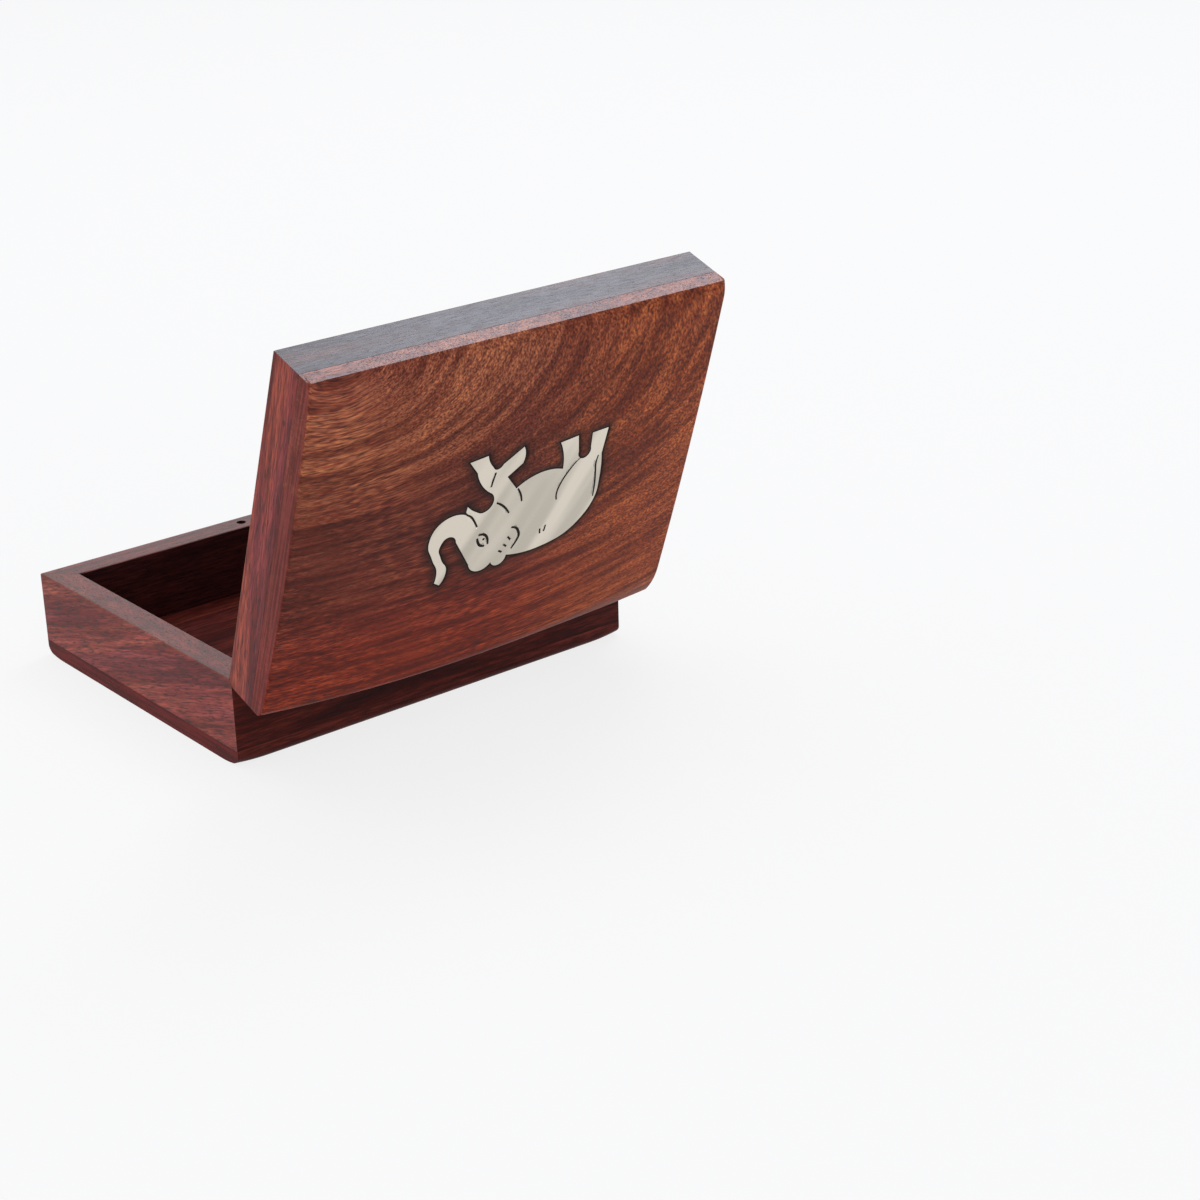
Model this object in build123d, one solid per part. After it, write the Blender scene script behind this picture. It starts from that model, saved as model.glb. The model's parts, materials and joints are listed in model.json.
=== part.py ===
from build123d import *
import os
from math import cos, radians, sin, sqrt

# Wooden playing card box: a mitred tray and a mitred, domed lid on two small butt hinges.
# X runs along the length, +Y towards the hinges, +Z up. The origin is the middle of the underside.
# The lid is stored open on its stop, leaning back past upright. All sizes are in millimetres.

# Plan of the box
box_length = 114.0
box_depth = 90.0
wall = 7.2

# Tray. The round under its long edges takes at most this share of the bottom's thickness.
tray_height = 22.0
bottom_thickness = 4.0
bottom_round = 2.1
largest_round = 0.95

# Lid frame, and the domed panel at its front edge
rail_height = 9.6
panel_edge = 3.8

# Dome of the panel above its front edge, in the middle of the length and at the two ends. It was shaped by
# hand, so the left end is the fuller one and rolls over wider at the rear. The roll at the rear is drawn in
# a few equal arcs.
front_roll = 4.0
shoulder_rise_middle = 1.5
shoulder_rise_left = 1.15
shoulder_rise_right = 1.0
crown_rise_middle = 4.8
crown_rise_left = 2.4
crown_rise_right = 1.9
crown_setback = 6.0
rear_fall_middle = 0.4
rear_fall_left = 0.1
rear_fall_right = 1.3
rear_roll_middle = 2.5
rear_roll_left = 8.5
rear_roll_right = 2.5
rear_roll_drop = 2.0
roll_arcs = 3

# Hinge line and stop
open_angle = 109.6
hinge_inset = 1.2
seat_gap = 0.15
stop_gap = 0.10

# Butt hinges, and where their middles stand from the ends of the box
hinge_from_end = 23.0
hinge_length = 20.0
leaf_thickness = 0.6
leaf_land = 1.0
leaf_clearance = 0.05
barrel_clearance = 0.2
middle_knuckle = 7.0
knuckle_gap = 0.15
pin_diameter = 1.2
pin_clearance = 0.05

# Countersunk hinge screws, and how far they stand from the ends of a leaf
screw_from_end = 4.0
screw_length = 5.0
screw_shank = 1.2
screw_head = 2.4

# Closing pin in the lid's front rail, and its hole in the tray's front wall
closing_pin_diameter = 2.0
closing_pin_reach = 3.0
closing_pin_root = 5.0
closing_pin_tip = 0.4
closing_hole_play = 0.25

# Inlay: a plate rolled to the crown, let into the dome and worked flush
inlay_plate = 1.0
inlay_x = -3.1
inlay_y = 0.5

# Outline of the elephant about its own centre. Each run starts where the one before it ends, and the first
# starts where the last ends. A run of one point is straight, and a longer one is a smooth curve.
elephant_runs = (
    # Trunk tip, outer side of the raised trunk, tusk
    ((20.5, 15.6),),
    ((20.4, 12.4), (22.3, 8.4), (24.0, 4.0), (22.4, -0.6), (19.0, -2.4), (14.1, -1.4)),
    ((14.9, -2.6),),
    ((14.7, -4.0),),
    # Throat and striding front leg
    ((12.6, -2.2), (9.9, -1.1), (7.6, -2.8), (8.4, -5.9)),
    ((11.6, -8.9), (13.4, -12.6)),
    ((15.9, -15.9),),
    ((11.0, -16.5),),
    ((9.6, -13.6), (7.8, -12.1), (6.3, -13.1)),
    # Lifted front leg
    ((1.0, -16.3),),
    ((0.3, -14.2), (0.7, -11.9)),
    ((4.6, -9.3),),
    ((1.4, -5.3),),
    # Belly and hind legs
    ((-5.6, -7.8), (-11.8, -6.9)),
    ((-11.3, -10.8), (-9.8, -14.5)),
    ((-14.9, -15.0),),
    ((-15.8, -10.4),),
    ((-17.4, -8.2), (-19.4, -10.8)),
    ((-19.2, -14.6),),
    ((-23.9, -14.8),),
    # Rump and back
    ((-23.2, -8.0),),
    ((-24.0, -2.0), (-23.6, 4.6), (-18.5, 11.0), (-7.9, 14.1), (0.9, 13.3)),
    # Ear, brow and inner side of the trunk
    ((2.8, 15.6), (5.1, 14.1)),
    ((8.2, 15.7), (11.6, 12.9)),
    ((16.4, 5.2),),
    ((18.8, 3.2), (20.8, 5.6), (19.8, 9.0), (17.8, 12.6), (19.0, 16.6)),
)

# Places that follow from the sizes above
half_length = box_length / 2
front_face = -box_depth / 2
rear_face = box_depth / 2
lid_underside = tray_height + seat_gap
panel_underside = lid_underside + rail_height
panel_front_edge = panel_underside + panel_edge
crown_height = panel_front_edge + crown_rise_middle
over_the_lid = crown_height + wall
hinge_y = rear_face - hinge_inset
hinge_z = tray_height + seat_gap / 2
hinge_offset = half_length - hinge_from_end
hinge_places = {"left": -hinge_offset, "right": hinge_offset}
leaf_edge = rear_face - wall + leaf_land
barrel_diameter = pin_diameter + 2 * leaf_thickness
barrel_room = barrel_diameter + 2 * barrel_clearance
closing_pin_y = front_face + wall / 2
dome_middle = (shoulder_rise_middle, crown_rise_middle, rear_fall_middle, rear_roll_middle)

# Each leaf lies on its own side of the hinge line: the tray's below it and the lid's above
TRAY = -1
LID = 1
UPWARDS = (Align.CENTER, Align.CENTER, Align.MIN)


def block(x_range, y_range, z_range):
    """Box between two limits on each axis."""
    limits = (x_range, y_range, z_range)
    middle = [(low + high) / 2 for low, high in limits]
    size = [high - low for low, high in limits]
    return Pos(*middle) * Box(*size)


def rod(diameter, x_range):
    """Cylinder on the hinge line."""
    low, high = x_range
    return Pos((low + high) / 2, hinge_y, hinge_z) * Rot(0, 90, 0) * Cylinder(diameter / 2, high - low)


def mitred_walls(z_range):
    """Four walls of the box between two heights, cut apart on their mitres."""
    low, high = z_range
    plan = Rectangle(box_length, box_depth) - Rectangle(box_length - 2 * wall, box_depth - 2 * wall)
    ring = extrude(Pos(0, 0, low) * plan, high - low)
    corners = {
        "front": ((-1, -1), (1, -1)),
        "right": ((1, -1), (1, 1)),
        "rear": ((1, 1), (-1, 1)),
        "left": ((-1, 1), (-1, -1)),
    }
    reach = 2 * wall
    walls = {}
    for side, ends in corners.items():
        outer = [(sx * half_length, sy * rear_face) for sx, sy in ends]
        inner = [(sx * (half_length - reach), sy * (rear_face - reach)) for sx, sy in reversed(ends)]
        wedge = make_face(Polyline(*outer, *inner, close=True))
        walls[side] = ring & extrude(Pos(0, 0, low) * wedge, high - low)
    return walls


def stop_bevel(side):
    """What is cut off a rear edge at the hinge line. The two bevels meet when the lid is open."""
    lean = radians(open_angle / 2)
    facing = Vector(0, sin(lean), -side * cos(lean))
    seat = Vector(0, hinge_y, hinge_z) - facing * (stop_gap / 2)
    bevel_plane = Plane(seat, x_dir=(1, 0, 0), z_dir=facing)
    return bevel_plane * Box(2 * box_length, 2 * box_depth, box_depth, align=UPWARDS)


def hinge_screw():
    """Countersunk screw, head down at the origin."""
    sink = (screw_head - screw_shank) / 2
    shank = Cylinder(screw_shank / 2, screw_length - sink, align=UPWARDS)
    return Cone(screw_head / 2, screw_shank / 2, sink, align=UPWARDS) + Pos(0, 0, sink) * shank


def screw_spots(side, x):
    """Where the two screws of one leaf stand."""
    reach = hinge_length / 2 - screw_from_end
    y = (leaf_edge + hinge_y - barrel_diameter / 2) / 2
    z = hinge_z + side * seat_gap / 2
    turn = Rot(0, 0, 0) if side == LID else Rot(180, 0, 0)
    return [Pos(x + step * reach, y, z) * turn for step in (-1, 1)]


def hinge_leaf(side, x):
    """Leaf of one butt hinge with its knuckles: the tray's has the outer two, the lid's the middle one."""
    half = hinge_length / 2
    near = hinge_z + side * seat_gap / 2
    far = near + side * leaf_thickness
    plate = block((x - half, x + half), (leaf_edge, hinge_y), sorted((near, far)))
    middle = (x - middle_knuckle / 2, x + middle_knuckle / 2)
    left = (x - half, middle[0] - knuckle_gap)
    right = (middle[1] + knuckle_gap, x + half)
    own, other = ((left, right), (middle,)) if side == TRAY else ((middle,), (left, right))
    bore = pin_diameter if side == TRAY else pin_diameter + 2 * pin_clearance
    for low, high in other:
        plate -= rod(barrel_room, (low - knuckle_gap, high + knuckle_gap))
    for span in own:
        plate += rod(barrel_diameter, span)
    plate -= rod(bore, (x - half, x + half))
    for spot in screw_spots(side, x):
        plate -= spot * hinge_screw()
    return plate


def hinge_mortise(side, x):
    """Wood cut away for one leaf, the barrel and the two screws."""
    half = hinge_length / 2 + leaf_clearance
    far = hinge_z + side * (seat_gap / 2 + leaf_thickness)
    cut = block((x - half, x + half), (leaf_edge - leaf_clearance, hinge_y), sorted((hinge_z, far)))
    cut += rod(barrel_room, (x - half, x + half))
    for spot in screw_spots(side, x):
        cut += spot * hinge_screw()
    return cut


def hinge_screws(side):
    """Screws of both leaves on one side of the hinge line."""
    spots = [spot for x in hinge_places.values() for spot in screw_spots(side, x)]
    return Compound(children=[spot * hinge_screw() for spot in spots])


def dome_section(x, shoulder_rise, crown_rise, rear_fall, rear_roll):
    """Space above the dome on one cross section: crowned, rolled over at the front and at the rear."""
    edge = (front_face, panel_front_edge)
    shoulder = (front_face + front_roll, panel_front_edge + shoulder_rise)
    crown = (crown_setback, panel_front_edge + crown_rise)
    back = (rear_face - rear_roll, crown[1] - rear_fall)
    foot = (rear_face, back[1] - rear_roll_drop)
    crown_arc = ThreePointArc(shoulder, crown, back)
    front_arc = TangentArc(shoulder, edge, tangent=-(crown_arc % 0))
    rear_arc = TangentArc(back, foot, tangent=crown_arc % 1)
    front_run = front_arc @ 1 + (front_arc % 1) * front_roll
    rear_run = rear_arc @ 1 + (rear_arc % 1) * front_roll
    roof = Polyline(rear_run, (rear_run.X, over_the_lid), (front_run.X, over_the_lid), front_run)
    roll = [rear_arc.trim(step / roll_arcs, (step + 1) / roll_arcs) for step in range(roll_arcs)]
    lines = (Line(front_run, edge), front_arc, crown_arc, *roll, Line(foot, rear_run), roof)
    across = Plane((x, 0, 0), x_dir=(0, 1, 0), z_dir=(1, 0, 0))
    return across * make_face([line.edges() for line in lines])


def domed_panel():
    """Top board of the lid, worked to a pillow between its ends."""
    overrun = panel_edge / 4
    left = (shoulder_rise_left, crown_rise_left, rear_fall_left, rear_roll_left)
    right = (shoulder_rise_right, crown_rise_right, rear_fall_right, rear_roll_right)
    stations = ((-half_length - overrun, left), (0, dome_middle), (half_length + overrun, right))
    above = loft([dome_section(x, *form) for x, form in stations])
    board = block((-half_length, half_length), (front_face, rear_face), (panel_underside, over_the_lid))
    return board - above


def smooth_run(points):
    """Line between two points, or a chain of arcs through more, each starting the way the last one ends."""
    points = [Vector(*point) for point in points]
    if len(points) == 2:
        return [Line(*points)]
    last_trio = len(points) - 3
    headings = []
    for index, point in enumerate(points):
        first = min(max(index - 1, 0), last_trio)
        headings.append(ThreePointArc(*points[first : first + 3]).tangent_at(point))
    arcs = []
    for a, b, leaving, arriving in zip(points, points[1:], headings, headings[1:]):
        chord = b - a
        along = chord.dot(leaving + arriving)
        spread = 1 - leaving.dot(arriving)
        reach = chord.dot(chord) / (along + sqrt(along**2 + 2 * spread * chord.dot(chord)))
        meeting = (a + b + (leaving - arriving) * reach) * 0.5
        arcs.append(TangentArc(a, meeting, tangent=leaving))
        arcs.append(TangentArc(meeting, b, tangent=arcs[-1] % 1))
    return arcs


def elephant_face():
    """Outline of the inlay in plan, in its place on the lid."""
    start = elephant_runs[-1][-1]
    arcs = []
    for run in elephant_runs:
        arcs += smooth_run((start, *run))
        start = run[-1]
    return Pos(inlay_x, inlay_y) * make_face(arcs)


def inlay_stock():
    """Plate sawn to the elephant, rolled underneath to the crown of the dome and standing above it."""
    crown = dome_section(0, *dome_middle)
    sheet = extrude(Pos(0, 0, -inlay_plate) * crown, half_length, both=True)
    sawn = extrude(Pos(0, 0, panel_underside) * elephant_face(), over_the_lid - panel_underside)
    return sheet & sawn


def closing_pin():
    """Round pin standing out of the underside of the lid's front rail."""
    length = closing_pin_reach + closing_pin_root
    pin = Cylinder(closing_pin_diameter / 2, length, align=UPWARDS)
    tip = pin.edges().sort_by(Axis.Z)[0]
    return Pos(0, closing_pin_y, lid_underside - closing_pin_reach) * chamfer(tip, closing_pin_tip)


def opened(piece):
    """A piece of the lid, turned from closed to its open rest."""
    return piece.rotate(Axis((0, hinge_y, hinge_z), (1, 0, 0)), -open_angle)


# Tray: bottom board, and walls with the mortises and the closing hole
bottom = block((-half_length, half_length), (front_face, rear_face), (0, bottom_thickness))
long_edges = bottom.edges().filter_by(Axis.X).group_by(Axis.Z)[0]
bottom = fillet(long_edges, min(bottom_round, largest_round * bottom_thickness))
tray_walls = mitred_walls((bottom_thickness, tray_height))
hole_depth = closing_pin_reach + closing_hole_play
closing_hole = Cylinder(closing_pin_diameter / 2 + closing_hole_play, 2 * hole_depth)
tray_walls["front"] -= Pos(0, closing_pin_y, tray_height) * closing_hole

# Lid: rails, domed panel, plate and closing pin, all drawn closed
rails = mitred_walls((lid_underside, panel_underside))
blank = domed_panel()
plate = inlay_stock()
pin = closing_pin()
rails["front"] -= pin

# Stop bevels along the rear edges, and the mortises of the hinges
for side in tray_walls:
    tray_walls[side] -= stop_bevel(TRAY)
    rails[side] -= stop_bevel(LID)
for x in hinge_places.values():
    tray_walls["rear"] -= hinge_mortise(TRAY, x)
    rails["rear"] -= hinge_mortise(LID, x)

tray = {"tray_bottom": bottom, "hinge_tray_screws": hinge_screws(TRAY)}
lid = {
    "lid_panel": blank - plate,
    "elephant_inlay": blank & plate,
    "closing_pin": pin,
    "hinge_lid_screws": hinge_screws(LID),
}
for side in tray_walls:
    tray[f"tray_{side}_wall"] = tray_walls[side]
    lid[f"lid_{side}_rail"] = rails[side]
for hand, x in hinge_places.items():
    tray[f"hinge_tray_leaf_{hand}"] = hinge_leaf(TRAY, x)
    tray[f"hinge_pin_{hand}"] = rod(pin_diameter, (x - hinge_length / 2, x + hinge_length / 2))
    lid[f"hinge_lid_leaf_{hand}"] = hinge_leaf(LID, x)

os.makedirs("parts", exist_ok=True)
for name, piece in tray.items():
    export_step(piece, f"parts/{name}.step")
for name, piece in lid.items():
    export_step(opened(piece), f"parts/{name}.step")
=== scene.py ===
"""Dress the wooden playing card box: sheesham boards, a white-metal elephant let into the lid, brass hinges.

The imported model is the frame, and the box is stored open. Each board is a copy of its solid with eased edges,
the domed panel and the inlay are modelled anew with true curves, and every piece rides on the body that
carries it. Lengths are metres, as in the frame, unless a name or comment says millimetres.
"""

import json
import logging
import math
from dataclasses import dataclass, replace
from enum import Enum

import bmesh
import bpy
from bmesh.types import BMEdge, BMesh, BMFace, BMVert
from bpy.types import ID, Material, Node, NodeSocket, NodeTree, Object
from mathutils import Matrix, Vector
from mathutils.bvhtree import BVHTree

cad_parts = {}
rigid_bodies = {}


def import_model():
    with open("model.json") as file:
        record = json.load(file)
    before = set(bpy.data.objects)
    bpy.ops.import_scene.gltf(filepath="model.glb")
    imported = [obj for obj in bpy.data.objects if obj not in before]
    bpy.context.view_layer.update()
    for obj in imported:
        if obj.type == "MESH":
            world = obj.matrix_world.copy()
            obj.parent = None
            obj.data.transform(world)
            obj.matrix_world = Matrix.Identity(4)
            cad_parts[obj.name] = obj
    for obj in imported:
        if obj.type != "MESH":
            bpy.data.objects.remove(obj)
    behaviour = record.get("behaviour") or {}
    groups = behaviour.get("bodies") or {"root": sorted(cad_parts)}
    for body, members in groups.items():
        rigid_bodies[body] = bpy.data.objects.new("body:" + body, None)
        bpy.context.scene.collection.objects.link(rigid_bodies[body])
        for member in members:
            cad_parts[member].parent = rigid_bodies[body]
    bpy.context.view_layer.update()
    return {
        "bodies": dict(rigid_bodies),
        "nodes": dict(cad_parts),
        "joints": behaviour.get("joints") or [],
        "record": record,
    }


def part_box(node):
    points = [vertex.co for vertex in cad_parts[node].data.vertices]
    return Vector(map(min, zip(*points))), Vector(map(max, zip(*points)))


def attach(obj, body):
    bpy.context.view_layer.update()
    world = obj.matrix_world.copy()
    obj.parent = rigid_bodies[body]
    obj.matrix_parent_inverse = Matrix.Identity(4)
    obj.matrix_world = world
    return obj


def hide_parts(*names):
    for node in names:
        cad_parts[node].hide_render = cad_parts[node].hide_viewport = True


MM = 0.001
TRAY_BODY = "tray"
LID_BODY = "lid"
MERGE_DISTANCE = 0.0005 * MM
NEAR = 0.01 * MM
FLAT_ANGLE = math.radians(0.5)
CREASE_ANGLE = math.radians(32)
WHITE = (1.0, 1.0, 1.0, 1.0)

# Values that a noise mostly lies between
NOISE_SPAN = (0.3, 0.7)

# Marks that a board's mesh carries for its finish; the inside mark also carries painted shade
INSIDE = "inside"
ARRIS = "arris"
STAIN = "stain"
POLISH = "polish"

log = logging.getLogger("card_box")


class Grain(Enum):
    """Which way the fibres of a board run, as the turn about Z that lays them along X."""

    ALONG_LENGTH = 0.0
    ALONG_DEPTH = 90.0


class Cut(Enum):
    """How one closed mesh is worked with another."""

    TAKE_AWAY = "DIFFERENCE"
    KEEP_SHARED = "INTERSECT"


class Slot(Enum):
    """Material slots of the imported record."""

    TRAY_WOOD = "tray_wood"
    LID_WOOD = "lid_wood"
    WHITE_METAL = "white_metal"
    DARK_FILLER = "dark_filler"
    BRASS = "hinge_brass"


def linear(hex_colour: str) -> tuple[float, float, float, float]:
    """Turn six hexadecimal digits of sRGB into the linear colour that a shader takes."""
    channels = [int(hex_colour[place : place + 2], 16) / 255 for place in (0, 2, 4)]
    return (*(c / 12.92 if c <= 0.04045 else ((c + 0.055) / 1.055) ** 2.4 for c in channels), 1.0)


def add_node(tree: NodeTree, kind: str, feeds: dict | None = None, **settings) -> Node:
    """Add a node with its settings, values and links.

    Args:
        tree: node tree that gets the node.
        kind: Blender's name of the node type.
        feeds: value or output socket for each input, by the input's name or number.
        **settings: properties of the node itself.

    Returns:
        The new node.
    """
    node = tree.nodes.new(kind)
    for name, value in settings.items():
        setattr(node, name, value)
    for name, value in (feeds or {}).items():
        if isinstance(value, NodeSocket):
            tree.links.new(value, node.inputs[name])
        else:
            node.inputs[name].default_value = value
    return node


def calc(tree: NodeTree, operation: str, *values: NodeSocket | float) -> NodeSocket:
    """Work out a value from up to three others."""
    return add_node(tree, "ShaderNodeMath", dict(enumerate(values)), operation=operation).outputs[0]


def stretched(tree: NodeTree, value: NodeSocket, low: float, high: float, top: float = 1.0) -> NodeSocket:
    """Stretch a value so that low gives 0 and high gives the top, with soft ends."""
    feeds = {"Value": value, "From Min": low, "From Max": high, "To Max": top}
    return add_node(tree, "ShaderNodeMapRange", feeds, interpolation_type="SMOOTHSTEP").outputs[0]


def ranged(tree: NodeTree, noise: NodeSocket, bounds: tuple[float, float]) -> NodeSocket:
    """Turn a noise into values between two bounds."""
    ends = zip(("From Min", "From Max", "To Min", "To Max"), (*NOISE_SPAN, *bounds))
    return add_node(tree, "ShaderNodeMapRange", {"Value": noise, **dict(ends)}).outputs[0]


def tinted(
    tree: NodeTree, share: NodeSocket, under: NodeSocket | tuple, over: tuple, blend: str = "MIX"
) -> NodeSocket:
    """Lay one colour over another by a share, blended in the way that Blender names so."""
    feeds = {0: share, 6: under, 7: over}
    return add_node(tree, "ShaderNodeMix", feeds, data_type="RGBA", blend_type=blend).outputs[2]


def bumped(tree: NodeTree, height: NodeSocket, depth_mm: float, strength: float = 1.0) -> NodeSocket:
    """Normal of a surface that is uneven by a small depth."""
    feeds = {"Height": height, "Distance": depth_mm * MM, "Strength": strength}
    return add_node(tree, "ShaderNodeBump", feeds).outputs[0]


def drawn_noise(
    tree: NodeTree, place: NodeSocket, size_mm: tuple[float, float], detail: float, swirl: float = 0.0
) -> NodeSocket:
    """Noise drawn out along X.

    Args:
        tree: tree of the material.
        place: place in millimetres.
        size_mm: length along X and width across it.
        detail: how many finer layers the noise has.
        swirl: how strongly the noise is stirred.

    Returns:
        Values around one half.
    """
    along, across = size_mm
    feeds = {"Vector": place, "Scale": (1 / along, 1 / across, 1 / across)}
    drawn = add_node(tree, "ShaderNodeMapping", feeds).outputs[0]
    feeds = {"Vector": drawn, "Scale": 1.0, "Detail": detail, "Distortion": swirl}
    return add_node(tree, "ShaderNodeTexNoise", feeds).outputs["Fac"]


def even_noise(tree: NodeTree, size_mm: float, detail: float) -> NodeSocket:
    """Noise of one size in all directions.

    Args:
        tree: tree of the material.
        size_mm: size of its patches.
        detail: how many finer layers the noise has.

    Returns:
        Values around one half.
    """
    place = add_node(tree, "ShaderNodeTexCoord").outputs["Object"]
    feeds = {"Vector": place, "Scale": 1 / (size_mm * MM), "Detail": detail}
    return add_node(tree, "ShaderNodeTexNoise", feeds).outputs["Fac"]


def new_material(name: str) -> tuple[Material, NodeTree]:
    """Start a material with an empty node tree.

    Args:
        name: name of the material.

    Returns:
        The material and its tree.
    """
    material = bpy.data.materials.new(name)
    material.use_nodes = True
    material.node_tree.nodes.clear()
    return material, material.node_tree


def finish_surface(tree: NodeTree, shader: Node) -> None:
    """Lead a shader's first output to the material's surface."""
    add_node(tree, "ShaderNodeOutputMaterial", {"Surface": shader.outputs[0]})


@dataclass(frozen=True)
class HingeLine:
    """Line that the lid turns about, and how far it turns from open to closed."""

    y: float
    z: float
    swing: float

    def closing(self) -> Matrix:
        """Matrix that carries the lid from its open rest to closed."""
        centre = Matrix.Translation((0, self.y, self.z))
        return centre @ Matrix.Rotation(self.swing, 4, "X") @ centre.inverted()

    def close(self, mesh: BMesh) -> None:
        """Carry a piece of the lid from its open rest to closed."""
        bmesh.ops.transform(mesh, matrix=self.closing(), verts=mesh.verts[:])
        mesh.normal_update()

    def open(self, mesh: BMesh) -> None:
        """Carry a closed piece of the lid to its open rest."""
        bmesh.ops.transform(mesh, matrix=self.closing().inverted(), verts=mesh.verts[:])


def box_place(
    tree: NodeTree, lid: HingeLine | None, turn: tuple[float, float, float], shift_mm: Vector
) -> NodeSocket:
    """Place on a piece in millimetres, drawn as if the lid were closed.

    Args:
        tree: tree of the material.
        lid: line that the lid turns about, for a piece of the lid.
        turn: further turn of the pattern, in degrees about X, Y and Z.
        shift_mm: shift of the pattern, which makes one board differ from the next.

    Returns:
        The place.
    """
    angles = Vector([math.radians(angle) for angle in turn])
    shift = Vector(shift_mm)
    if lid:
        angles.x += lid.swing
        shift += lid.closing().to_translation() / MM
    place = add_node(tree, "ShaderNodeTexCoord").outputs["Object"]
    feeds = {"Vector": place, "Location": shift, "Rotation": angles, "Scale": (1 / MM,) * 3}
    return add_node(tree, "ShaderNodeMapping", feeds).outputs[0]


@dataclass(frozen=True)
class Sweep:
    """Growth lines that leave one end of a board level and turn up to its front, as wood does below a fork.

    The sizes are millimetres on the closed box. Each line keeps the depth that it has where it runs level.
    """

    level_x: float = 49.0
    foot: float = 75.0
    reach: float = 60.0
    core: float = 3.0
    lean: float = 0.8

    def lay(self, tree: NodeTree, place: NodeSocket) -> tuple[NodeSocket, NodeSocket]:
        """Lay the pattern along the lines.

        Args:
            tree: tree of the material.
            place: place on the closed box in millimetres.

        Returns:
            Place with X along the lines and Y across them, and how far the lines have turned, from 0 to 1.
        """
        x, y, z = add_node(tree, "ShaderNodeSeparateXYZ", {0: place}).outputs
        past = calc(tree, "SUBTRACT", self.level_x, x)
        depth = calc(tree, "ADD", y, self.foot)
        rise = calc(tree, "MULTIPLY_ADD", calc(tree, "MULTIPLY", depth, depth), 1 / self.reach, -self.core)
        arm = add_node(tree, "ShaderNodeCombineXYZ", {"X": past, "Y": rise}).outputs[0]
        length = add_node(tree, "ShaderNodeVectorMath", {0: arm}, operation="LENGTH").outputs["Value"]
        ring = calc(tree, "MULTIPLY_ADD", length, self.reach, self.reach * self.core)
        across = calc(tree, "SUBTRACT", calc(tree, "SQRT", ring), self.foot)
        along = calc(tree, "MULTIPLY_ADD", y, -self.lean, past)
        turned = calc(tree, "DIVIDE", past, length)
        return add_node(tree, "ShaderNodeCombineXYZ", {"X": along, "Y": across, "Z": z}).outputs[0], turned


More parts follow.
